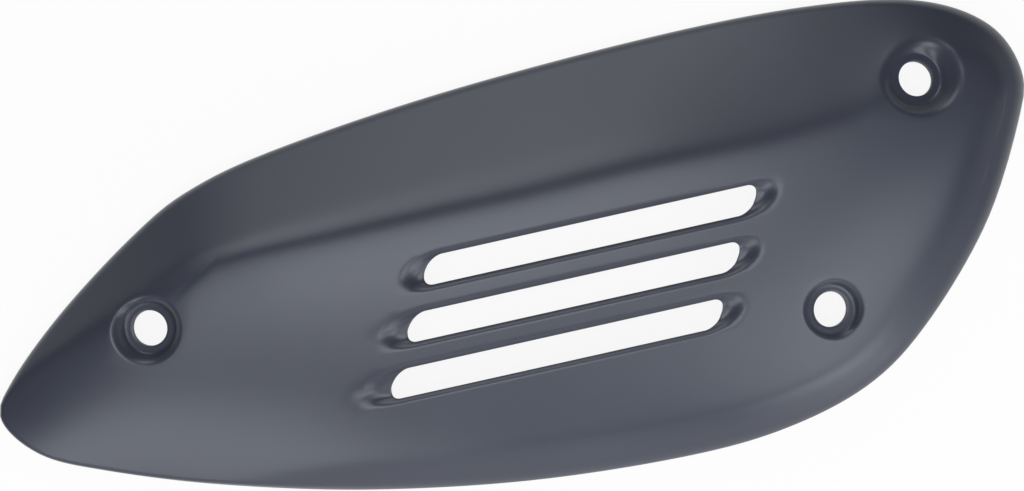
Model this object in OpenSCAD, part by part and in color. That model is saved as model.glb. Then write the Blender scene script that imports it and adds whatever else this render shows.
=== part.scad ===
// Exhaust heat shield: one pressed steel sheet with three vent slots and three recessed screw holes.
// X runs along the slots towards the broad end, Y across them, and Z outwards, away from the pipe.
// The shield lies on its rim at Z = 0, and the origin is the middle of the rim's outer box.

/* [Shield] */
// Length from the narrow tip to the broad end
shield_l = 303; // [280:1:330]
// Width across the slots
shield_w = 118; // [110:1:130]
// Height of the main face's ridge at the crown, before its crease with the side wall is rounded
crown_h = 25; // [20:0.5:32]
// Distance of the crown from the middle, towards the broad end
crown_x = 15; // [0:1:30]
// Thickness of the sheet
sheet_t = 1.5; // [1:0.1:2]

/* [Rim and sides] */
// Angle of the upper side wall to the rim's plane beside the slots
side_angle = 34; // [29:1:40]
// Angle of the side walls at the narrow tip
tip_side_angle = 45; // [35:1:50]
// Angle of the side walls at the broad end
end_side_angle = 42; // [35:1:50]
// Angle of the lower side wall between the slots and the lower screw hole
corner_side_angle = 43; // [30:1:48]
// Height of the rolled edge
edge_h = 3.2; // [1.5:0.1:4]
// Width of the rolled edge
edge_w = 5; // [2:0.1:6]
// Height of the main face over the rim at the narrow tip
tip_h = 3; // [2:0.5:5]
// Height of the main face over the lower rim beside the slots
side_h = 7.5; // [4:0.5:10]
// Height of the main face over the rim beside the lower screw hole
corner_h = 6; // [4:0.5:9]
// Height of the main face over the rim at the broad end
end_h = 8; // [5:0.5:11]

/* [Vent slots] */
// Number of slots
slot_count = 3; // [1:1:3]
// Distance from the narrow tip to the middle slot
slots_from_tip = 118.25; // [105:0.25:130]
// Distance from the middle slot to the broad end
slots_from_end = 90; // [80:0.25:100]
// Width of a slot, which is also the diameter of its round ends
slot_w = 7.6; // [6:0.1:9]
// Distance between the centre lines of two slots
slot_pitch = 14.6; // [13:0.1:16]
// How far each slot starts beyond the one below it
slot_step = 8; // [4:0.5:10]
// Offset of the middle slot across the shield
slots_y = -6.5; // [-10:0.5:-3]
// Depth of the pressed trough that each slot lies in
trough_depth = 2.8; // [1.5:0.1:4]
// How far a trough runs out beyond each end of its slot
trough_run = 9.5; // [6:0.5:11]
// Width of a trough
trough_w = 12.6; // [11:0.1:14.6]
// Width of the flat floor that a trough would have without its slot
trough_floor_w = 4.4; // [1:0.1:5.5]

/* [Screw holes] */
// Diameter of a screw hole
bore_d = 10; // [6:0.1:11]
// Diameter of the flat land round a screw hole
land_d = 13.8; // [12.6:0.1:14.5]
// Distance of the tip's screw hole from the narrow tip
tip_screw_x = 47.5; // [40:0.5:55]
// Distance of the tip's screw hole from the upper side
tip_screw_y = 49.5; // [45:0.5:55]
// Depth of the recess round the tip's screw hole
tip_screw_depth = 4; // [2:0.1:5]
// Diameter of that recess at its rounded lip
tip_lip_d = 21; // [19:0.5:26]
// Angle at which the land round the tip's screw hole leans towards the tip
tip_screw_tilt = 15; // [0:1:20]
// Distance of the lower screw hole from the broad end
low_screw_x = 68; // [60:0.5:75]
// Distance of the lower screw hole from the lower side
low_screw_y = 32; // [28:0.5:37]
// Depth of the recess round the lower screw hole
low_screw_depth = 2.4; // [1.5:0.1:4]
// Diameter of that recess at its rounded lip
low_lip_d = 18; // [16.5:0.5:22]
// Angle at which the land round the lower screw hole leans towards the broad end
low_screw_tilt = 18; // [0:1:20]
// Distance of the upper screw hole from the broad end
high_screw_x = 30.5; // [26:0.5:36]
// Distance of the upper screw hole from the upper side
high_screw_y = 28; // [25:0.5:32]
// Depth of the recess round the upper screw hole
high_screw_depth = 4.6; // [2:0.1:5.5]
// Diameter of that recess at its rounded lip
high_lip_d = 25; // [21:0.5:27]
// Angle at which the land round the upper screw hole leans towards the broad end
high_screw_tilt = 20; // [0:1:25]

/* [Hidden] */
tiny = 0.01;

// The corners of the outline, counterclockwise from the narrow tip, as drawn
drawn_outline = [
    [-151.5, -6.5], [-143, -18.5], [-126, -27], [-95, -38], [-55, -48.5], [-10, -56], [34, -59],
    [64, -57.5], [90, -50.5], [110, -37], [132, -13.5], [147, 12], [151.5, 26.5], [145, 42],
    [126, 53], [94, 58], [50, 59], [-10, 56.5], [-60, 51], [-86, 45], [-104, 36], [-128, 19.5],
    [-146, 3.5]
];
curve_steps = 5;

function curve_point(a, b, c, d, t) =
    b + (c - a) * t / 2
    + (a - 2.5 * b + 2 * c - d / 2) * t * t
    + (1.5 * b - a / 2 - 1.5 * c + d / 2) * t * t * t;
function closed_curve(corners, steps) =
    let (n = len(corners))
    [for (i = [0:n - 1], k = [0:steps - 1])
        let (
            before = corners[(i + n - 1) % n],
            after = corners[(i + 1) % n],
            second = corners[(i + 2) % n]
        )
        curve_point(before, corners[i], after, second, k / steps)];
drawn_curve = closed_curve(drawn_outline, curve_steps);
low_corner = [min([for (p = drawn_curve) p.x]), min([for (p = drawn_curve) p.y])];
high_corner = [max([for (p = drawn_curve) p.x]), max([for (p = drawn_curve) p.y])];
middle = (low_corner + high_corner) / 2;
drawn = high_corner - low_corner;
outline = [for (p = drawn_curve)
    [(p.x - middle.x) * shield_l / drawn.x, (p.y - middle.y) * shield_w / drawn.y]];

// Distance from the rim and the nearest point of the rim, as [distance, x, y]
function nearest_on_edge(p, a, b) =
    let (along = (p - a) * (b - a) / ((b - a) * (b - a)), foot = a + (b - a) * max(0, min(1, along)))
    [norm(p - foot), foot.x, foot.y];
function nearest_on_outline(p) =
    let (
        n = len(outline),
        found = [for (i = [0:n - 1]) nearest_on_edge(p, outline[i], outline[(i + 1) % n])],
        least = min([for (f = found) f[0]])
    )
    [for (f = found) if (f[0] == least) f][0];

// The lower edge as a table of y over x, from the narrow tip to the broad end
broad_end_x = max([for (p = outline) p.x]);
broad_end = [for (i = [0:len(outline) - 1]) if (outline[i].x == broad_end_x) i][0];
lower_edge = [for (i = [0:broad_end]) outline[i]];
tip_y = outline[0].y;
end_y = outline[broad_end].y;

// Forms along X are drawn as a list of [place, value] with a smooth curve through them
function sum(v, i = 0) = i >= len(v) ? 0 : v[i] + sum(v, i + 1);
function curve_slope(list, i) =
    let (a = list[max(0, i - 1)], b = list[min(len(list) - 1, i + 1)])
    (b[1] - a[1]) / (b[0] - a[0]);
function along_curve(x, list) =
    let (
        passed = len([for (p = list) if (p[0] <= x) 1]),
        i = max(0, min(len(list) - 2, passed - 1)),
        width = list[i + 1][0] - list[i][0],
        t = max(0, min(1, (x - list[i][0]) / width)),
        start = list[i][1] * (1 + 2 * t) + width * curve_slope(list, i) * t,
        end = list[i + 1][1] * (3 - 2 * t) + width * curve_slope(list, i + 1) * (t - 1)
    )
    start * (1 - t) * (1 - t) + end * t * t;
half_l = shield_l / 2;
stretch = shield_l / drawn.x;

// Main face: each cross-section falls in a power curve from the ridge to the lower rim
section_power = 2;
upper_bow = 0.004;
least_depth = 1;
ridge_heights = [
    [-half_l, tip_h], [-110 * stretch, 0.66 * crown_h], [-75 * stretch, 0.86 * crown_h],
    [-30 * stretch, crown_h - 1], [crown_x, crown_h], [60 * stretch, crown_h - 1],
    [100 * stretch, 0.82 * crown_h], [130 * stretch, 0.6 * crown_h], [half_l, end_h]
];
ridge_places = [
    [-half_l, tip_y], [-110 * stretch, 14], [-85 * stretch, 20], [-40 * stretch, 22.5],
    [60 * stretch, 22.5], [110 * stretch, 21], [half_l, 20]
];
low_heights = [
    [-half_l, tip_h], [-100 * stretch, tip_h], [-50 * stretch, side_h - 1], [-5 * stretch, side_h],
    [70 * stretch, side_h], [105 * stretch, corner_h], [half_l, end_h]
];
function main_face(x, y) =
    let (
        top = along_curve(x, ridge_heights),
        ridge_y = along_curve(x, ridge_places),
        below = ridge_y - y,
        depth = max(least_depth, ridge_y - lookup(x, lower_edge))
    )
    below < 0 ? top - upper_bow * below * below
    : top - (top - along_curve(x, low_heights)) * pow(below / depth, section_power);

// Side wall: a rolled edge and then a slope, by the distance from the rim and its nearest point
upper_angles = [
    [-half_l, tip_side_angle], [-110 * stretch, tip_side_angle - 2], [-60 * stretch, side_angle + 3],
    [0, side_angle], [40 * stretch, side_angle - 1], [90 * stretch, side_angle - 5],
    [120 * stretch, side_angle - 4], [half_l, end_side_angle]
];
lower_angles = [
    [-half_l, tip_side_angle], [-100 * stretch, 36], [-50 * stretch, 39],
    [0, corner_side_angle], [90 * stretch, corner_side_angle], [half_l, end_side_angle]
];
function is_upper(foot) = foot.y > tip_y + (end_y - tip_y) * (foot.x / shield_l + 0.5);
function wall_angle(foot) = along_curve(foot.x, is_upper(foot) ? upper_angles : lower_angles);
function side_wall(near) =
    let (left = 1 - min(1, max(0, near[0]) / edge_w))
    near[0] * tan(wall_angle([near[1], near[2]])) + edge_h * sqrt(1 - left * left);

// The two meet in a crease that is tighter where the shield is lower
crease_power = 16;
function body_z(x, y, near) =
    let (m = main_face(x, y), s = side_wall(near), low = min(m, s), high = max(m, s))
    low <= tiny ? low : low * pow(1 + pow(low / high, crease_power), -1 / crease_power);

// Slot coordinates: a runs along the slot, b across it, and a leans with the row of slots
slot_lean = slot_step / slot_pitch;
slot_l = shield_l - slots_from_tip - slots_from_end;
slots_x = (slots_from_tip - slots_from_end) / 2;
half_pitch = slot_pitch / 2;
slot_core = slot_l / 2 - slot_w / 2;
run_start = 3;
function slot_y(k) = slots_y + (k - (slot_count - 1) / 2) * slot_pitch;
function to_slot(p, k) =
    let (b = p.y - slot_y(k))
    [p.x - slots_x - slot_lean * (p.y - slots_y), b];
function from_slot(a, b, k) = [slots_x + a + slot_lean * (slot_y(k) + b - slots_y), slot_y(k) + b];
function fade(v, full, none) =
    v <= full ? 1 : v >= none ? 0 : (1 + cos(180 * (v - full) / (none - full))) / 2;
// A trough's share of its full depth: it starts to run out just before each end of the slot
function trough(p, k) =
    let (q = to_slot(p, k))
    fade(abs(q[1]), trough_floor_w / 2, trough_w / 2)
    * fade(abs(q[0]), slot_l / 2 - run_start, slot_l / 2 + trough_run);

// Recesses, each as [x, y, depth, radius of its rounded lip, slope of its land along X]
recesses = [
    [
        tip_screw_x - half_l, shield_w / 2 - tip_screw_y,
        tip_screw_depth, tip_lip_d / 2, tan(tip_screw_tilt)
    ],
    [
        half_l - low_screw_x, low_screw_y - shield_w / 2,
        low_screw_depth, low_lip_d / 2, -tan(low_screw_tilt)
    ],
    [
        half_l - high_screw_x, shield_w / 2 - high_screw_y,
        high_screw_depth, high_lip_d / 2, -tan(high_screw_tilt)
    ]
];
step = 0.05;
function body_at(x, y) = body_z(x, y, nearest_on_outline([x, y]));
function body_slope(x, y) = [
    (body_at(x + step, y) - body_at(x - step, y)) / (2 * step),
    (body_at(x, y + step) - body_at(x, y - step)) / (2 * step)
];
// Each land as [centre x, centre y, centre z, slope along X, slope along Y]; across the shield it
// slopes by this share of the sheet's own slope
side_share = 0.5;
lands = [for (r = recesses)
    let (g = body_slope(r[0], r[1]), fall = r[2] * sqrt(1 + g * g))
    [r[0], r[1], body_at(r[0], r[1]) - fall, r[4], side_share * g.y]];
function land_normal(k) = let (v = [-lands[k][3], -lands[k][4], 1]) v / norm(v);
function land_centre(k) = [lands[k][0], lands[k][1], lands[k][2]];
function land_z(x, y, k) =
    lands[k][2] + lands[k][3] * (x - lands[k][0]) + lands[k][4] * (y - lands[k][1]);
function hole_xy(k) = [recesses[k][0], recesses[k][1]];
// A recess is pressed square to the sheet, so its lip is centred a little towards the way it faces
function lip_xy(k) = hole_xy(k) - recesses[k][2] * [lands[k][3], lands[k][4]];
function recess_share(p, k) =
    let (
        from_land = norm(p - hole_xy(k)) - land_d / 2,
        to_lip = recesses[k][3] - norm(p - lip_xy(k))
    )
    to_lip <= 0 ? 0 : from_land <= 0 ? 1 : fade(from_land / (from_land + to_lip), 0, 1);

function height(x, y, near) =
    let (
        z = body_z(x, y, near) - trough_depth * sum([for (k = [0:slot_count - 1]) trough([x, y], k)]),
        inside = [for (k = [0:len(recesses) - 1]) if (recess_share([x, y], k) > 0) k]
    )
    len(inside) == 0 ? z
    : let (k = inside[0], share = recess_share([x, y], k)) z * (1 - share) + land_z(x, y, k) * share;

// A place on the sheet as its outer point and its inner point, one thickness apart
function sheet_pair(p) =
    let (
        near = nearest_on_outline(p),
        inward = (p - [near[1], near[2]]) / near[0],
        east = height(p.x + step, p.y, near + [step * inward.x, 0, 0]),
        west = height(p.x - step, p.y, near - [step * inward.x, 0, 0]),
        north = height(p.x, p.y + step, near + [step * inward.y, 0, 0]),
        south = height(p.x, p.y - step, near - [step * inward.y, 0, 0]),
        slope = [(east - west) / (2 * step), (north - south) / (2 * step)],
        outer = [p.x, p.y, height(p.x, p.y, near)]
    )
    [outer, outer - sheet_t * [-slope.x, -slope.y, 1] / norm([slope.x, slope.y, 1])];

// Grid over the planform inside the rim band: columns lean with the slots, rows run along them
band_w = edge_w + 2;
inset = [for (i = [0:len(outline) - 1])
    let (
        n = len(outline),
        along = outline[(i + 1) % n] - outline[(i + n - 1) % n]
    )
    outline[i] + band_w * [-along.y, along.x] / norm(along)];
function column_of(p) = p.x - slots_x - slot_lean * (p.y - slots_y);
function on_column(s, y) = [slots_x + s + slot_lean * (y - slots_y), y];
inset_columns = [for (p = inset) column_of(p)];
first_column = min(inset_columns);
last_column = max(inset_columns);
function index_of(value, list) = [for (i = [0:len(list) - 1]) if (list[i] == value) i][0];
function chain(from, to) =
    let (n = len(inset))
    [for (k = [0:(to - from + n) % n]) let (i = (from + k) % n) [inset_columns[i], inset[i].y]];
tip_index = index_of(first_column, inset_columns);
end_index = index_of(last_column, inset_columns);
lower_chain = chain(tip_index, end_index);
upper_chain = chain(end_index, tip_index);

// Columns fan out evenly round the ends of the slots, and gather towards both ends of the shield
turn = 15;
fan_steps = 4;
fan = fan_steps * turn;
panel_half = slot_core + half_pitch * tan(fan);
straight_steps = 12;
tip_steps = 18;
broad_steps = 14;
gather = 1.4;
fan_columns = [for (k = [1:fan_steps]) slot_core + half_pitch * tan(k * turn)];
tip_part = -panel_half - first_column;
broad_part = last_column - panel_half;
columns = concat(
    [for (i = [0:tip_steps - 1]) first_column + tip_part * pow(i / tip_steps, gather)],
    [for (k = [fan_steps:-1:1]) -fan_columns[k - 1]],
    [for (i = [0:straight_steps]) slot_core * (2 * i / straight_steps - 1)],
    fan_columns,
    [for (i = [1:broad_steps]) last_column - broad_part * pow(1 - i / broad_steps, gather)]
);
panel_first = tip_steps;
panel_last = tip_steps + 2 * fan_steps + straight_steps;
last_i = len(columns) - 1;

// Rows: some below the slots, four for each slot, and some above, pressed together towards the ends
low_rows = 5;
slot_rows = 4;
high_rows = 7;
last_j = low_rows + slot_rows * slot_count + high_rows;
side_row = (1 - tan(fan) * tan(turn)) / 2;
row_parts = [0, side_row, 0.5, 1 - side_row];
// Beside the slots the rows of the slots keep to this part of the width
low_row_least = 0.15;
low_row_most = 0.4;
high_row_least = 0.6;
high_row_most = 0.85;
function row_y(s, j) =
    let (
        bottom = lookup(s, lower_chain),
        top = lookup(s, upper_chain),
        tall = top - bottom,
        panel_low = slot_y(0) - half_pitch,
        panel_high = slot_y(slot_count - 1) + half_pitch,
        beside = abs(s) > panel_half + tiny,
        low_beside = max(bottom + low_row_least * tall, min(bottom + low_row_most * tall, panel_low)),
        high_beside = max(bottom + high_row_least * tall, min(bottom + high_row_most * tall, panel_high)),
        low = beside ? low_beside : panel_low,
        high = beside ? high_beside : panel_high,
        q = j - low_rows,
        above = q - slot_rows * slot_count
    )
    q < 0 ? bottom + (low - bottom) * j / low_rows
    : above >= 0 ? high + (top - high) * above / high_rows
    : low + (high - low) * (floor(q / slot_rows) + row_parts[q % slot_rows]) / slot_count;
grid = [for (s = columns) [for (j = [0:last_j]) on_column(s, row_y(s, j))]];

// A block of cells given up to a slot or a recess, as [first i, last i, first j, last j]
function block_edge(b) = concat(
    [for (i = [b[0]:1:b[1] - 1]) grid[i][b[2]]],
    [for (j = [b[2]:1:b[3] - 1]) grid[b[1]][j]],
    [for (i = [b[1]:-1:b[0] + 1]) grid[i][b[3]]],
    [for (j = [b[3]:-1:b[2] + 1]) grid[b[0]][j]]
);
slot_blocks = [for (k = [0:slot_count - 1])
    [panel_first, panel_last, low_rows + slot_rows * k, low_rows + slot_rows * (k + 1)]];
recess_margin = 1.2;
function is_clear(first_i, end_i, j, c, r) =
    min([for (i = [first_i:end_i]) norm(grid[i][j] - c)]) >= r;
function recess_block(k) =
    let (
        c = hole_xy(k),
        r = recesses[k][3] + recess_margin,
        reach = r * sqrt(1 + slot_lean * slot_lean),
        first_i = max([for (i = [0:last_i]) if (columns[i] <= column_of(c) - reach) i]),
        end_i = min([for (i = [0:last_i]) if (columns[i] >= column_of(c) + reach) i]),
        clear = [for (j = [0:last_j]) if (is_clear(first_i, end_i, j, c, r)) j],
        below = [for (j = clear) if (grid[end_i][j].y < c.y) j],
        above = [for (j = clear) if (grid[first_i][j].y > c.y) j]
    )
    [first_i, end_i, max(below), min(above)];
recess_blocks = [for (k = [0:len(recesses) - 1]) recess_block(k)];
blocks = concat(slot_blocks, recess_blocks);
function in_block(i, j, b) = i >= b[0] && i < b[1] && j >= b[2] && j < b[3];
function is_open(i, j) = len([for (b = blocks) if (in_block(i, j, b)) 1]) == 0;

// Each patch is a list of lines of sheet pairs
field = [for (line = grid) [for (p = line) sheet_pair(p)]];
band_edge = block_edge([0, last_i, 0, last_j]);
band_shares = [0, 0.2, 0.53, 1];
function rim_pair(foot, inward) =
    let (inner = foot + sheet_t * inward) [[foot.x, foot.y, 0], [inner.x, inner.y, 0]];
function band_pair(p, depth) =
    let (near = nearest_on_outline(p), foot = [near[1], near[2]], inward = (p - foot) / near[0])
    depth == 0 ? rim_pair(foot, inward) : sheet_pair(foot + depth * inward);
band_loop = [for (i = [0:len(band_edge) - 1])
    if (norm(band_edge[i] - band_edge[(i + 1) % len(band_edge)]) > tiny) band_edge[i]];
band = concat(
    [for (share = band_shares) [for (p = band_loop) band_pair(p, share * edge_w)]],
    [[for (p = band_loop) sheet_pair(p)]]
);
slot_shares = [0, 0.25, 0.5, 0.75, 1];
function slot_edge(q) =
    let (core = max(-slot_core, min(slot_core, q[0])), out = q - [core, 0])
    [core, 0] + slot_w / 2 * out / norm(out);
function slot_patch(k) =
    let (edge = [for (p = block_edge(slot_blocks[k])) to_slot(p, k)])
    [for (t = slot_shares) [for (q = edge)
        let (m = q + t * (slot_edge(q) - q)) sheet_pair(from_slot(m[0], m[1], k))]];
wall_shares = [1, 0.75, 0.5, 0.25, 0];
land_inset = 0.4;
function recess_patch(k) =
    let (
        edge = block_edge(recess_blocks[k]),
        c = hole_xy(k),
        rays = [for (p = edge) (p - c) / norm(p - c)],
        land = [for (v = rays) c + v * land_d / 2],
        lip = [for (v = rays) lip_xy(k) + v * recesses[k][3]]
    )
    concat(
        [[for (p = edge) sheet_pair(p)]],
        [for (t = wall_shares)
            [for (i = [0:len(rays) - 1]) sheet_pair(land[i] + t * (lip[i] - land[i]))]],
        [[for (v = rays) sheet_pair(c + v * (land_d / 2 - land_inset))]]
    );

// Points of all patches, outer ones first, and the faces that join them
loops = concat(
    [band],
    [for (k = [0:slot_count - 1]) slot_patch(k)],
    [for (k = [0:len(recesses) - 1]) recess_patch(k)]
);
patches = concat([field], loops);
sizes = [for (p = patches) len(p) * len(p[0])];
starts = [for (k = [0:len(patches) - 1]) k == 0 ? 0 : sum([for (i = [0:k - 1]) sizes[i]])];
total = sum(sizes);
outer_points = [for (p = patches, line = p, pair = line) pair[0]];
inner_points = [for (p = patches, line = p, pair = line) pair[1]];
function place(k, line, i) = starts[k] + line * len(patches[k][0]) + i;
function both_sides(loop) = [[for (i = [len(loop) - 1:-1:0]) loop[i]], [for (v = loop) v + total]];
field_faces = [for (i = [0:last_i - 1], j = [0:last_j - 1]) if (is_open(i, j))
    let (
        a = place(0, i, j),
        b = place(0, i + 1, j),
        c = place(0, i + 1, j + 1),
        d = place(0, i, j + 1)
    )
    each concat(i == 0 ? [] : both_sides([a, b, d]), i == last_i - 1 ? [] : both_sides([b, c, d]))];
loop_faces = [for (k = [1:len(patches) - 1], r = [0:len(patches[k]) - 2], m = [0:len(patches[k][0]) - 1])
    let (
        next = (m + 1) % len(patches[k][0]),
        a = place(k, r, m),
        b = place(k, r, next),
        c = place(k, r + 1, next),
        d = place(k, r + 1, m)
    )
    each concat(both_sides([a, b, c]), both_sides([a, c, d]))];
rim_faces = [for (m = [0:len(band[0]) - 1])
    let (
        a = place(1, 0, m),
        b = place(1, 0, (m + 1) % len(band[0]))
    )
    each [[a, b, b + total], [a, b + total, a + total]]];
slot_faces = [for (k = [2:1 + slot_count], m = [0:len(patches[k][0]) - 1])
    let (
        edge = len(patches[k]) - 1,
        a = place(k, edge, m),
        b = place(k, edge, (m + 1) % len(patches[k][0]))
    )
    each [[b, a, a + total], [b, a + total, b + total]]];
land_faces = [for (k = [2 + slot_count:len(patches) - 1])
    let (edge = len(patches[k]) - 1, loop = [for (m = [0:len(patches[k][0]) - 1]) place(k, edge, m)])
    each both_sides(loop)];

module sheet() {
    polyhedron(
        points = concat(outer_points, inner_points),
        faces = concat(field_faces, loop_faces, rim_faces, slot_faces, land_faces),
        convexity = 8
    );
}

// A screw hole is drilled square to its land
module screw_hole(k) {
    n = land_normal(k);
    translate(land_centre(k))
        rotate([0, acos(n.z), atan2(n.y, n.x)])
            cylinder(h = 6 * sheet_t, d = bore_d, center = true, $fn = 64);
}

module heat_shield() {
    color("#43464d")
        difference() {
            sheet();
            for (k = [0:len(recesses) - 1])
                screw_hole(k);
        }
}

heat_shield();
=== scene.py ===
import math
import bpy
import numpy as np
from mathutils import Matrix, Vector


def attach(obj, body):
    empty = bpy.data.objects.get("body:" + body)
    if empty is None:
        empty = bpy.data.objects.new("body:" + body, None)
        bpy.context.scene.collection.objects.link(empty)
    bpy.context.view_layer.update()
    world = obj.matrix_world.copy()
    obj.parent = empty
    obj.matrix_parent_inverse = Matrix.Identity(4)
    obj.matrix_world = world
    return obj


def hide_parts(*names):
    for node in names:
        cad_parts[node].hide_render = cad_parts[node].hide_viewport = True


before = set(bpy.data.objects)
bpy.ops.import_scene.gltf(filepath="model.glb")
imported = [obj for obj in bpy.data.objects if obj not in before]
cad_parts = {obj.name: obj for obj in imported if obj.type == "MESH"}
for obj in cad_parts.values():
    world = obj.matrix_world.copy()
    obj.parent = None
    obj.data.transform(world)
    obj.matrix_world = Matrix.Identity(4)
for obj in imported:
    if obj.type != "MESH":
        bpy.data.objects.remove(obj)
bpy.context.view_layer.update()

mm = 0.001
tiny = 1e-6  # keeps a divisor above nothing, and allows for rounding

# sizes and places are in millimetres until the sheet is finished
shield = {
    "length": 303, "width": 118, "sheet": 1.5,
    "sectionPower": 2, "leastDepth": 1, "upperBow": 0.004, "creasePower": 16,
    "cutEdge": 0.3, "cutEdgeSteps": 2, "cutEdgeFrom": 55, "smoothUpTo": 40,
}
outline = {
    "curveSteps": 16,
    "corners": [  # counterclockwise from the narrow tip
        (-151.5, -6.5), (-143, -18.5), (-126, -27), (-95, -38), (-55, -48.5), (-10, -56),
        (34, -59), (64, -57.5), (90, -50.5), (110, -37), (132, -13.5), (147, 12),
        (151.5, 26.5), (145, 42), (126, 53), (94, 58), (50, 59), (-10, 56.5),
        (-60, 51), (-86, 45), (-104, 36), (-128, 19.5), (-146, 3.5),
    ],
}
slots = {
    "count": 3, "long": 94.75, "wide": 7.6, "pitch": 14.6, "step": 8, "x": 14.125, "y": -6.5,
    "troughDeep": 2.2, "troughFloor": 5, "troughWide": 11.4,
    "runLeft": (13, 10.5, 8), "runRight": 7.5,  # lowest slot first; the right ends are alike
}
screws = {
    "bore": 10, "land": 13.8, "sideShare": 0.5, "wallPower": 0.75,
    "places": [  # x, y, depth of the recess, diameter at its lip, lean of its land towards the broad end
        (-104, 9.5, 4, 21, -15),
        (83.5, -27, 2.4, 18, 18),
        (121, 31, 4.6, 25, 20),
    ],
}
lean = slots["step"] / slots["pitch"]
halfPitch = slots["pitch"] / 2
slotCore = (slots["long"] - slots["wide"]) / 2


def closedCurve(corners, steps):  # a smooth closed curve through the corners
    a, b, c, d = (np.roll(corners, k, axis=0)[:, None] for k in (1, 0, -1, -2))
    t = (np.arange(steps) / steps)[None, :, None]
    curve = b + (c - a) * t / 2 + (a - 2.5 * b + 2 * c - d / 2) * t ** 2
    curve = curve + (1.5 * b - a / 2 - 1.5 * c + d / 2) * t ** 3
    return curve.reshape(-1, 2)


drawn = closedCurve(np.array(outline["corners"]), outline["curveSteps"])
lowCorner, highCorner = drawn.min(axis=0), drawn.max(axis=0)
rimSize = np.array([shield["length"], shield["width"]])
rim = (drawn - (lowCorner + highCorner) / 2) * rimSize / (highCorner - lowCorner)
broadEnd = rim[:, 0].argmax()
lowerRim = rim[:broadEnd + 1]
tipY, endY = rim[0, 1], rim[broadEnd, 1]
half = shield["length"] / 2
drawnForm = {  # values along X, joined by smooth curves
    "ridgeHigh": [
        (-half, 3), (-110, 16.5), (-75, 21.5), (-30, 24), (15, 25),
        (60, 24), (100, 20.5), (130, 15), (half, 8),
    ],
    "ridgeY": [(-half, tipY), (-110, 14), (-85, 20), (-40, 22.5), (60, 22.5), (110, 21), (half, 20)],
    "lowHigh": [(-half, 3), (-100, 3), (-50, 6.5), (-5, 7.5), (70, 7.5), (105, 6), (half, 8)],
    "upperAngle": [
        (-half, 45), (-110, 43), (-60, 37), (0, 34), (40, 33), (90, 29), (120, 30), (half, 42),
    ],
    "lowerAngle": [
        (-half, 45), (-100, 36), (-60, 42), (-30, 46), (0, 46), (80, 46), (115, 42), (half, 42),
    ],
    "upperRollHigh": [(-half, 3.2), (half, 3.2)],
    "lowerRollHigh": [
        (-half, 3.2), (-85, 3.2), (-55, 2.4), (-25, 1.7), (5, 1.6), (70, 1.6), (110, 2.2), (half, 3.2),
    ],
    "upperRollWide": [(-half, 1), (0, 1.3), (110, 1.6), (half, 2.5)],
    "lowerRollWide": [(-half, 1), (-85, 1.2), (-55, 2), (-25, 2.5), (70, 2.5), (110, 2.5), (half, 2.5)],
}


def nearestOnRim(places, atOnce=2000):  # distance from the rim, and the nearest place on it
    side = np.roll(rim, -1, axis=0) - rim
    distances, feet = [], []
    for part in np.array_split(places, len(places) // atOnce + 1):
        along = ((part[:, None] - rim) * side).sum(2) / (side ** 2).sum(1)
        foot = rim + side * np.clip(along, 0, 1)[..., None]
        far = np.linalg.norm(part[:, None] - foot, axis=2)
        best = (np.arange(len(part)), far.argmin(1))
        distances.append(far[best])
        feet.append(foot[best])
    return np.concatenate(distances), np.concatenate(feet)


def alongCurve(x, name):  # a smooth curve through the drawn values
    at, value = np.array(drawnForm[name], float).T
    slope = np.concatenate([
        np.diff(value[:2]) / np.diff(at[:2]),
        (value[2:] - value[:-2]) / (at[2:] - at[:-2]),
        np.diff(value[-2:]) / np.diff(at[-2:]),
    ])
    k = np.clip(np.searchsorted(at, x) - 1, 0, len(at) - 2)
    wide = at[k + 1] - at[k]
    t = np.clip((x - at[k]) / wide, 0, 1)
    start = value[k] * (1 + 2 * t) + wide * slope[k] * t
    end = value[k + 1] * (3 - 2 * t) + wide * slope[k + 1] * (t - 1)
    return start * (1 - t) ** 2 + end * t ** 2


def mainFace(x, y):  # each cross-section falls from the ridge to the lower rim
    top, ridgeY = alongCurve(x, "ridgeHigh"), alongCurve(x, "ridgeY")
    below = ridgeY - y
    deep = np.maximum(shield["leastDepth"], ridgeY - np.interp(x, lowerRim[:, 0], lowerRim[:, 1]))
    fall = (top - alongCurve(x, "lowHigh")) * (np.maximum(below, 0) / deep) ** shield["sectionPower"]
    return np.where(below < 0, top - shield["upperBow"] * below ** 2, top - fall)


def sideWall(d, foot):  # a rolled edge, then a slope; both change along the rim
    upper = foot[:, 1] > tipY + (endY - tipY) * (foot[:, 0] + half) / shield["length"]
    angle, rollHigh, rollWide = (
        np.where(upper, alongCurve(foot[:, 0], "upper" + part), alongCurve(foot[:, 0], "lower" + part))
        for part in ("Angle", "RollHigh", "RollWide"))
    left = 1 - np.clip(d / rollWide, 0, 1)
    return d * np.tan(np.radians(angle)) + rollHigh * np.sqrt(1 - left ** 2)


def bodyHeight(x, y, d, foot):  # main face and side wall meet in a soft crease
    face, wall, power = mainFace(x, y), sideWall(d, foot), shield["creasePower"]
    low, high = np.minimum(face, wall), np.maximum(face, wall)
    ratio = np.clip(low / np.maximum(high, tiny), 0, 1)
    return low * (1 + ratio ** power) ** (-1 / power)


def slotY(k):
    return slots["y"] + (k - (slots["count"] - 1) / 2) * slots["pitch"]


def columnOf(x, y):  # place along the slots, in a frame that leans with their row
    return x - slots["x"] - lean * (y - slots["y"])


def onColumn(s, y):
    return slots["x"] + s + lean * (y - slots["y"])


def fade(v, full, none):  # 1 up to full, 0 from none on
    return (1 + np.cos(np.pi * np.clip((v - full) / (none - full), 0, 1))) / 2


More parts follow.
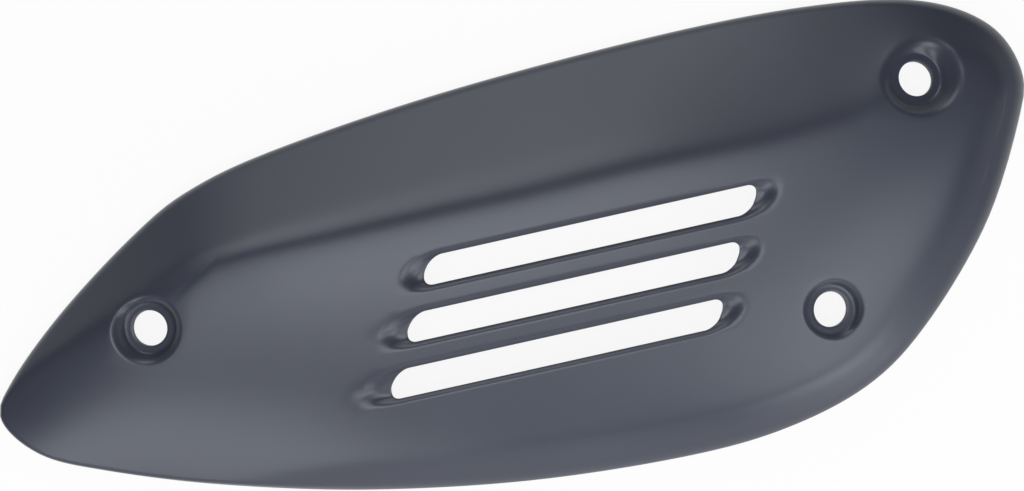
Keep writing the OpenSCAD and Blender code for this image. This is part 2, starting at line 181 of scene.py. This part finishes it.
def troughDepth(x, y):  # runs out in a rounded pocket beyond both ends of its slot
    along = columnOf(x, y)
    beyond = np.maximum(np.abs(along) - slotCore, 0)
    floor, wide = slots["troughFloor"] / 2, slots["troughWide"] / 2
    depth = 0
    for k, runLeft in enumerate(slots["runLeft"]):
        reach = slots["wide"] / 2 + np.where(along < 0, runLeft, slots["runRight"])
        depth = depth + fade(np.hypot(beyond * wide / reach, y - slotY(k)), floor, wide)
    return slots["troughDeep"] * depth


def bodyAt(x, y):
    return bodyHeight(np.array([x]), np.array([y]), *nearestOnRim(np.array([[x, y]])))[0]


def makeLand(x, y, deep, lipWide, leanOver):  # the tilted flat round a screw hole
    step = 0.05
    body = np.array([
        bodyAt(x + step, y) - bodyAt(x - step, y), bodyAt(x, y + step) - bodyAt(x, y - step),
    ]) / (2 * step)
    slope = np.array([-math.tan(math.radians(leanOver)), screws["sideShare"] * body[1]])
    return {
        "centre": np.array([x, y]), "slope": slope, "lipRadius": lipWide / 2,
        "z": bodyAt(x, y) - deep * math.sqrt(1 + body @ body),
        "lipCentre": np.array([x, y]) - deep * slope,
    }


lands = [makeLand(*place) for place in screws["places"]]


def sheetHeight(places):  # the outer skin's height over each place
    x, y = places[:, 0], places[:, 1]
    z = bodyHeight(x, y, *nearestOnRim(places)) - troughDepth(x, y)
    for land in lands:
        fromLand = np.linalg.norm(places - land["centre"], axis=1) - screws["land"] / 2
        toLip = land["lipRadius"] - np.linalg.norm(places - land["lipCentre"], axis=1)
        out = np.maximum(fromLand, 0)
        way = (out / np.maximum(out + np.maximum(toLip, 0), tiny)) ** screws["wallPower"]
        share = np.where(toLip > 0, fade(way, 0, 1), 0)
        flat = land["z"] + (places - land["centre"]) @ land["slope"]
        z = z * (1 - share) + flat * share
    return z


# the grid leans with the row of slots; rings are shares of the way to an edge
pattern = {
    "turn": 7.5, "fanSteps": 8, "straight": 40, "tip": 50, "broad": 36, "gather": 1.7,
    "lowRows": 12, "highRows": 18, "margin": 1.2,
    "lowShares": (0.15, 0.4), "highShares": (0.6, 0.85),
    "slotRings": (0.12, 0.24, 0.36, 0.48, 0.6, 0.7, 0.8, 0.9, 1),
    "lipRings": (0.5, 1),
    "wallRings": (0.1, 0.2, 0.32, 0.44, 0.56, 0.68, 0.78, 0.87, 0.94, 0.98, 1),
    "boreRings": (0.5, 1),
    "bandWide": 5.5, "rollWide": 5, "rollTurn": 11.25, "mergeWithin": 0.01,
}


def patternColumns(firstColumn, lastColumn):
    turns = np.radians(pattern["turn"] * np.arange(1, pattern["fanSteps"] + 1))
    fan = slotCore + halfPitch * np.tan(turns)
    tipShare = (np.arange(pattern["tip"]) / pattern["tip"]) ** pattern["gather"]
    broadShare = (1 - np.arange(1, pattern["broad"] + 1) / pattern["broad"]) ** pattern["gather"]
    columns = np.concatenate([
        firstColumn + (-fan[-1] - firstColumn) * tipShare,
        -fan[::-1],
        np.linspace(-slotCore, slotCore, pattern["straight"] + 1),
        fan,
        lastColumn - (lastColumn - fan[-1]) * broadShare,
    ])
    return columns, fan[-1]


def patternRows(s, bottom, top, panelHalf):  # the rows that column s crosses, bottom to top
    turn = math.radians(pattern["turn"])
    fan = math.radians(pattern["turn"] * pattern["fanSteps"])
    upright = round((math.pi / 2 - fan) / turn)
    parts = [(1 - math.tan(fan) * math.tan((upright - m) * turn)) / 2 for m in range(2 * upright)]
    low, high = slotY(0) - halfPitch, slotY(slots["count"] - 1) + halfPitch
    if abs(s) > panelHalf + tiny:
        least, most = (bottom + share * (top - bottom) for share in pattern["lowShares"])
        low = max(least, min(most, low))
        least, most = (bottom + share * (top - bottom) for share in pattern["highShares"])
        high = max(least, min(most, high))
    count, tall = slots["count"], high - low
    middle = [low + tall * (k + part) / count for k in range(count) for part in parts]
    below = np.linspace(bottom, low, pattern["lowRows"], endpoint=False)
    return np.concatenate([below, middle, np.linspace(high, top, pattern["highRows"] + 1)])


rimWay = np.roll(rim, -1, axis=0) - np.roll(rim, 1, axis=0)
inward = np.stack([-rimWay[:, 1], rimWay[:, 0]], axis=1) / np.linalg.norm(rimWay, axis=1)[:, None]
inset = rim + pattern["bandWide"] * inward
insetColumns = columnOf(inset[:, 0], inset[:, 1])
tipIndex, endIndex = insetColumns.argmin(), insetColumns.argmax()


def chain(first, last):  # the inset line from one end to the other, as column and y
    picked = np.arange(first, last + 1) if first < last else np.r_[first:len(inset), 0:last + 1]
    ordered = picked[insetColumns[picked].argsort()]
    return insetColumns[ordered], inset[ordered, 1]


lowChain, highChain = chain(tipIndex, endIndex), chain(endIndex, tipIndex)
columns, panelHalf = patternColumns(insetColumns.min(), insetColumns.max())
grid = []
for s in columns:
    ys = patternRows(s, np.interp(s, *lowChain), np.interp(s, *highChain), panelHalf)
    grid.append(np.stack([onColumn(s, ys), ys], axis=1))
grid = np.array(grid)
lastI, lastJ = grid.shape[0] - 1, grid.shape[1] - 1


def recessBlock(land):  # the cells round a recess, first and last column, first and last row
    centre, radius = land["centre"], land["lipRadius"] + pattern["margin"]
    reach = radius * math.sqrt(1 + lean ** 2)
    middle = columnOf(*centre)
    firstI = np.flatnonzero(columns <= middle - reach).max()
    endI = np.flatnonzero(columns >= middle + reach).min()
    far = np.linalg.norm(grid[firstI:endI + 1] - centre, axis=2).min(axis=0)
    clear = np.flatnonzero(far >= radius)
    below = max(j for j in clear if grid[endI, j, 1] < centre[1])
    above = min(j for j in clear if grid[firstI, j, 1] > centre[1])
    return firstI, endI, below, above


slotRows = (lastJ - pattern["lowRows"] - pattern["highRows"]) // slots["count"]
slotBlocks = [
    (pattern["tip"], pattern["tip"] + 2 * pattern["fanSteps"] + pattern["straight"],
     pattern["lowRows"] + slotRows * k, pattern["lowRows"] + slotRows * (k + 1))
    for k in range(slots["count"])
]
recessBlocks = [recessBlock(land) for land in lands]
print("flat pattern", lastI, "x", lastJ, "cells")


def deselectAll():
    for item in bpy.context.selected_objects:
        item.select_set(False)


def placesOf(sheet):
    co = np.empty(len(sheet.data.vertices) * 3)
    sheet.data.vertices.foreach_get("co", co)
    return co.reshape(-1, 3)


def selectVertices(sheet, chosen):
    mesh = sheet.data
    mesh.polygons.foreach_set("select", np.zeros(len(mesh.polygons), bool))
    mesh.edges.foreach_set("select", np.zeros(len(mesh.edges), bool))
    mesh.vertices.foreach_set("select", chosen)


def selected(sheet):
    chosen = np.empty(len(sheet.data.vertices), bool)
    sheet.data.vertices.foreach_get("select", chosen)
    return chosen


def moveTo(sheet, chosen, places):
    co = placesOf(sheet)
    co[chosen, :2] = places
    sheet.data.vertices.foreach_set("co", co.ravel())


def pushLoop(sheet, place):  # extrudes the selected loop and sets the new one where place says
    bpy.ops.object.mode_set(mode="EDIT")
    bpy.ops.mesh.extrude_region_move()
    bpy.ops.object.mode_set(mode="OBJECT")
    chosen = selected(sheet)
    moveTo(sheet, chosen, place(placesOf(sheet)[chosen, :2]))


def addPattern():
    deselectAll()
    bpy.ops.mesh.primitive_grid_add(x_subdivisions=lastI, y_subdivisions=lastJ, size=2)
    sheet = bpy.context.active_object
    sheet.name = sheet.data.name = "shieldSheet"
    share = (placesOf(sheet)[:, :2] + 1) / 2
    i = np.rint(share[:, 0] * lastI).astype(int)
    j = np.rint(share[:, 1] * lastJ).astype(int)
    moveTo(sheet, np.ones(len(i), bool), grid[i, j])
    return sheet, i, j


def cutBlocks(sheet, i, j):  # takes out the cells of each slot and recess
    bpy.ops.object.mode_set(mode="EDIT")
    bpy.ops.mesh.select_mode(type="FACE")
    bpy.ops.mesh.select_all(action="DESELECT")
    bpy.ops.object.mode_set(mode="OBJECT")
    for face in sheet.data.polygons:
        column, row = i[list(face.vertices)].min(), j[list(face.vertices)].min()
        face.select = any(a <= column < b and c <= row < d for a, b, c, d in slotBlocks + recessBlocks)
    bpy.ops.object.mode_set(mode="EDIT")
    bpy.ops.mesh.delete(type="ONLY_FACE")
    bpy.ops.mesh.select_mode(type="VERT")
    bpy.ops.object.mode_set(mode="OBJECT")


def loopOf(i, j, block):  # the vertices on a block's edge
    a, b, c, d = block
    inside = (i >= a) & (i <= b) & (j >= c) & (j <= d)
    return inside & ((i == a) | (i == b) | (j == c) | (j == d))


def towards(target, share):  # a place part of the way to its target
    return lambda xy: xy + share * (target(xy) - xy)


def pushTowards(sheet, target, shares):  # one ring for each share of the whole way
    done = 0
    for share in shares:
        pushLoop(sheet, towards(target, (share - done) / (1 - done)))
        done = share


def slotTarget(k):
    def target(xy):
        a, b = columnOf(xy[:, 0], xy[:, 1]), xy[:, 1] - slotY(k)
        core = np.clip(a, -slotCore, slotCore)
        way = slots["wide"] / 2 / np.hypot(a - core, b)
        y = slotY(k) + b * way
        return np.stack([onColumn(core + (a - core) * way, y), y], axis=1)
    return target


def recessTarget(land, reach):  # keeps to the ray from the hole's centre, as far out as reach says
    def target(xy):
        ray = xy - land["centre"]
        ray = ray / np.linalg.norm(ray, axis=1)[:, None]
        return land["centre"] + ray * reach(ray)[:, None]
    return target


def lipReach(land):
    shift = land["lipCentre"] - land["centre"]
    return lambda ray: ray @ shift + np.sqrt((ray @ shift) ** 2 - shift @ shift + land["lipRadius"] ** 2)


def landReach(ray):
    return np.full(len(ray), screws["land"] / 2)


def boreReach(land):  # a circle in the tilted land, seen square to the flat pattern
    return lambda ray: screws["bore"] / 2 / np.sqrt(1 + (ray @ land["slope"]) ** 2)


def rimTarget(depth):
    def target(xy):
        d, foot = nearestOnRim(xy)
        return foot + (xy - foot) / d[:, None] * depth
    return target


sheet, gridI, gridJ = addPattern()
cutBlocks(sheet, gridI, gridJ)
onGrid = len(gridI)


def startLoop(block):  # selects a block's edge, whatever was added since
    chosen = np.zeros(len(sheet.data.vertices), bool)
    chosen[:onGrid] = loopOf(gridI, gridJ, block)
    selectVertices(sheet, chosen)


for k, block in enumerate(slotBlocks):
    startLoop(block)
    pushTowards(sheet, slotTarget(k), pattern["slotRings"])
for land, block in zip(lands, recessBlocks):
    startLoop(block)
    pushTowards(sheet, recessTarget(land, lipReach(land)), pattern["lipRings"])
    pushTowards(sheet, recessTarget(land, landReach), pattern["wallRings"])
    pushTowards(sheet, recessTarget(land, boreReach(land)), pattern["boreRings"])
startLoop((0, lastI, 0, lastJ))
rollTurns = np.radians(np.arange(90, -1, -pattern["rollTurn"]))
for depth in pattern["rollWide"] * (1 - np.cos(rollTurns)):  # closer together towards the rim
    pushLoop(sheet, rimTarget(depth))
print("pattern with its slots, recesses and rim band:", len(sheet.data.vertices), "points")


def pressSheet(sheet):  # gives the flat pattern its height
    bpy.ops.object.mode_set(mode="EDIT")
    bpy.ops.mesh.select_all(action="SELECT")
    bpy.ops.mesh.remove_doubles(threshold=pattern["mergeWithin"])
    bpy.ops.mesh.normals_make_consistent(inside=False)
    bpy.ops.object.mode_set(mode="OBJECT")
    co = placesOf(sheet)
    co[:, 2] = sheetHeight(co[:, :2])
    sheet.data.vertices.foreach_set("co", co.ravel())
    sheet.data.update()
    if sum(face.normal.z for face in sheet.data.polygons) < 0:
        bpy.ops.object.mode_set(mode="EDIT")
        bpy.ops.mesh.select_all(action="SELECT")
        bpy.ops.mesh.flip_normals()
        bpy.ops.object.mode_set(mode="OBJECT")


def thickenSheet(sheet):
    wall = sheet.modifiers.new("wall", "SOLIDIFY")
    wall.thickness = shield["sheet"]
    wall.offset = -1
    bpy.ops.object.modifier_apply(modifier=wall.name)
    co = placesOf(sheet)
    co[:, 2] = np.maximum(co[:, 2], 0)  # the cut rim stands flat
    sheet.data.vertices.foreach_set("co", co.ravel())
    edge = sheet.modifiers.new("cutEdges", "BEVEL")
    edge.width = shield["cutEdge"]
    edge.segments = shield["cutEdgeSteps"]
    edge.limit_method = "ANGLE"
    edge.angle_limit = math.radians(shield["cutEdgeFrom"])
    edge.use_clamp_overlap = False
    bpy.ops.object.modifier_apply(modifier=edge.name)


def finishSheet(sheet):
    bpy.ops.transform.resize(value=(mm, mm, mm), center_override=(0, 0, 0))
    bpy.ops.object.transform_apply(location=True, rotation=True, scale=True)
    bpy.ops.object.shade_smooth_by_angle(angle=math.radians(shield["smoothUpTo"]))
    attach(sheet, "root")
    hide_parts("heat_shield")


pressSheet(sheet)
thickenSheet(sheet)
finishSheet(sheet)
print("pressed sheet:", sum(len(face.vertices) - 2 for face in sheet.data.polygons), "triangles")


# from here on, lengths are in metres
coat = {
    "dark": (0.035, 0.039, 0.056), "pale": (0.041, 0.046, 0.065),
    "patchScale": 14, "patchDetail": 5, "darkUpTo": 0.35, "paleFrom": 0.65,
    "roughLow": 0.30, "roughHigh": 0.36, "specular": 0.5, "specularTint": (0.9, 0.94, 1),
    "grainScale": 2600, "grainDetail": 2, "grainBump": 0.12, "grainHigh": 0.00003,
}


def coatMaterial():
    material = bpy.data.materials.new("mattCoat")
    material.use_nodes = True
    nodes, links = material.node_tree.nodes, material.node_tree.links
    shader = nodes["Principled BSDF"]
    shader.inputs["Specular IOR Level"].default_value = coat["specular"]
    shader.inputs["Specular Tint"].default_value = (*coat["specularTint"], 1)
    place = nodes.new("ShaderNodeTexCoord").outputs["Object"]

    patches = nodes.new("ShaderNodeTexNoise")  # broad, faint unevenness of the sprayed coat
    patches.inputs["Scale"].default_value = coat["patchScale"]
    patches.inputs["Detail"].default_value = coat["patchDetail"]
    links.new(place, patches.inputs["Vector"])
    tone = nodes.new("ShaderNodeValToRGB")
    tone.color_ramp.elements[0].position = coat["darkUpTo"]
    tone.color_ramp.elements[0].color = (*coat["dark"], 1)
    tone.color_ramp.elements[1].position = coat["paleFrom"]
    tone.color_ramp.elements[1].color = (*coat["pale"], 1)
    links.new(patches.outputs["Fac"], tone.inputs["Fac"])
    links.new(tone.outputs["Color"], shader.inputs["Base Color"])
    dullness = nodes.new("ShaderNodeMapRange")
    dullness.inputs["To Min"].default_value = coat["roughLow"]
    dullness.inputs["To Max"].default_value = coat["roughHigh"]
    links.new(patches.outputs["Fac"], dullness.inputs["Value"])
    links.new(dullness.outputs["Result"], shader.inputs["Roughness"])

    grain = nodes.new("ShaderNodeTexNoise")  # fine powder grain
    grain.inputs["Scale"].default_value = coat["grainScale"]
    grain.inputs["Detail"].default_value = coat["grainDetail"]
    links.new(place, grain.inputs["Vector"])
    bump = nodes.new("ShaderNodeBump")
    bump.inputs["Strength"].default_value = coat["grainBump"]
    bump.inputs["Distance"].default_value = coat["grainHigh"]
    links.new(grain.outputs["Fac"], bump.inputs["Height"])
    links.new(bump.outputs["Normal"], shader.inputs["Normal"])
    return material


sheet.data.materials.clear()
sheet.data.materials.append(coatMaterial())
print("coat done")


picture = {  # the camera looks straight down, turned by so many degrees
    "turn": 12.6, "centre": (0.00015, 0.00996), "frameWide": 0.2893,
    "away": 1.8, "seesTo": 20, "sensorMm": 36,
    "floorSize": 4, "floorColour": (0.8, 0.8, 0.8), "floorWhite": 0.9,
    "surround": 0.02, "lampSize": 0.8,
}
pictureTurn = math.radians(picture["turn"])
pictureRight = Vector((math.cos(pictureTurn), -math.sin(pictureTurn), 0))
pictureUp = Vector((math.sin(pictureTurn), math.cos(pictureTurn), 0))
pictureCentre = Vector((*picture["centre"], 0))


def seenByEye(nodes, links):  # 1 for rays that show the background, 0 for those that light
    path = nodes.new("ShaderNodeLightPath")
    glossy = nodes.new("ShaderNodeMath")
    glossy.operation = "MAXIMUM"
    links.new(path.outputs["Is Camera Ray"], glossy.inputs[0])
    links.new(path.outputs["Is Glossy Ray"], glossy.inputs[1])
    clear = nodes.new("ShaderNodeMath")
    clear.operation = "MAXIMUM"
    links.new(glossy.outputs[0], clear.inputs[0])
    links.new(path.outputs["Is Transmission Ray"], clear.inputs[1])
    return clear.outputs[0]


def addFloor():
    deselectAll()
    bpy.ops.mesh.primitive_plane_add(size=picture["floorSize"])
    floor = bpy.context.active_object
    floor.name = "floor"
    material = bpy.data.materials.new("paleFloor")
    material.use_nodes = True
    nodes, links = material.node_tree.nodes, material.node_tree.links
    nodes.clear()
    matt = nodes.new("ShaderNodeBsdfDiffuse")
    matt.inputs["Color"].default_value = (*picture["floorColour"], 1)  # this one takes the shadow
    white = nodes.new("ShaderNodeEmission")
    share = nodes.new("ShaderNodeMath")
    share.operation = "MULTIPLY"
    share.inputs[1].default_value = picture["floorWhite"]
    links.new(seenByEye(nodes, links), share.inputs[0])
    mix = nodes.new("ShaderNodeMixShader")
    links.new(share.outputs[0], mix.inputs["Fac"])
    links.new(matt.outputs[0], mix.inputs[1])
    links.new(white.outputs[0], mix.inputs[2])
    links.new(mix.outputs[0], nodes.new("ShaderNodeOutputMaterial").inputs["Surface"])
    floor.data.materials.append(material)


def addSurround():  # a dim, even room; the camera sees only the floor
    world = bpy.data.worlds.new("surround")
    bpy.context.scene.world = world
    world.use_nodes = True
    room = world.node_tree.nodes["Background"]
    room.inputs["Color"].default_value = (1, 1, 1, 1)
    room.inputs["Strength"].default_value = picture["surround"]


lamps = [  # name, place to the right, up and above in the picture's own axes, power
    ("frontLamp", 0.0, 0.0, 1.6, 8.1),
    ("highLamp", -0.27, -0.47, 1.5, 4.1),
    ("rightLamp", 0.73, -0.73, 1.23, 8.2),
    ("lowLeftLamp", -0.45, -1.23, 0.92, 7.9),
    ("lowRightLamp", 0.99, -1.18, 0.41, 8.2),
    ("lowEdgeLamp", 0.0, -1.57, 0.33, 2.4),
    ("topLamp", -0.45, 1.23, 0.92, 5.8),
    ("topEdgeLamp", -0.4, 1.49, 0.41, 2.0),
]


def addLamp(name, right, up, above, power):
    data = bpy.data.lights.new(name, "AREA")
    data.size = picture["lampSize"]
    data.energy = power
    lamp = bpy.data.objects.new(name, data)
    bpy.context.collection.objects.link(lamp)
    lamp.location = pictureCentre + pictureRight * right + pictureUp * up + Vector((0, 0, above))
    lamp.rotation_euler = (pictureCentre - lamp.location).to_track_quat("-Z", "Y").to_euler()


def addCamera():
    data = bpy.data.cameras.new("camera")
    data.sensor_width = picture["sensorMm"]
    data.lens = data.sensor_width * picture["away"] / picture["frameWide"]
    data.clip_end = picture["seesTo"]
    camera = bpy.data.objects.new("camera", data)
    bpy.context.collection.objects.link(camera)
    camera.location = pictureCentre + Vector((0, 0, picture["away"]))
    camera.rotation_euler = (0, 0, -pictureTurn)
    bpy.context.scene.camera = camera


addFloor()
addSurround()
for lamp in lamps:
    addLamp(*lamp)
addCamera()
bpy.context.scene.view_settings.view_transform = "Standard"
print("stage set")
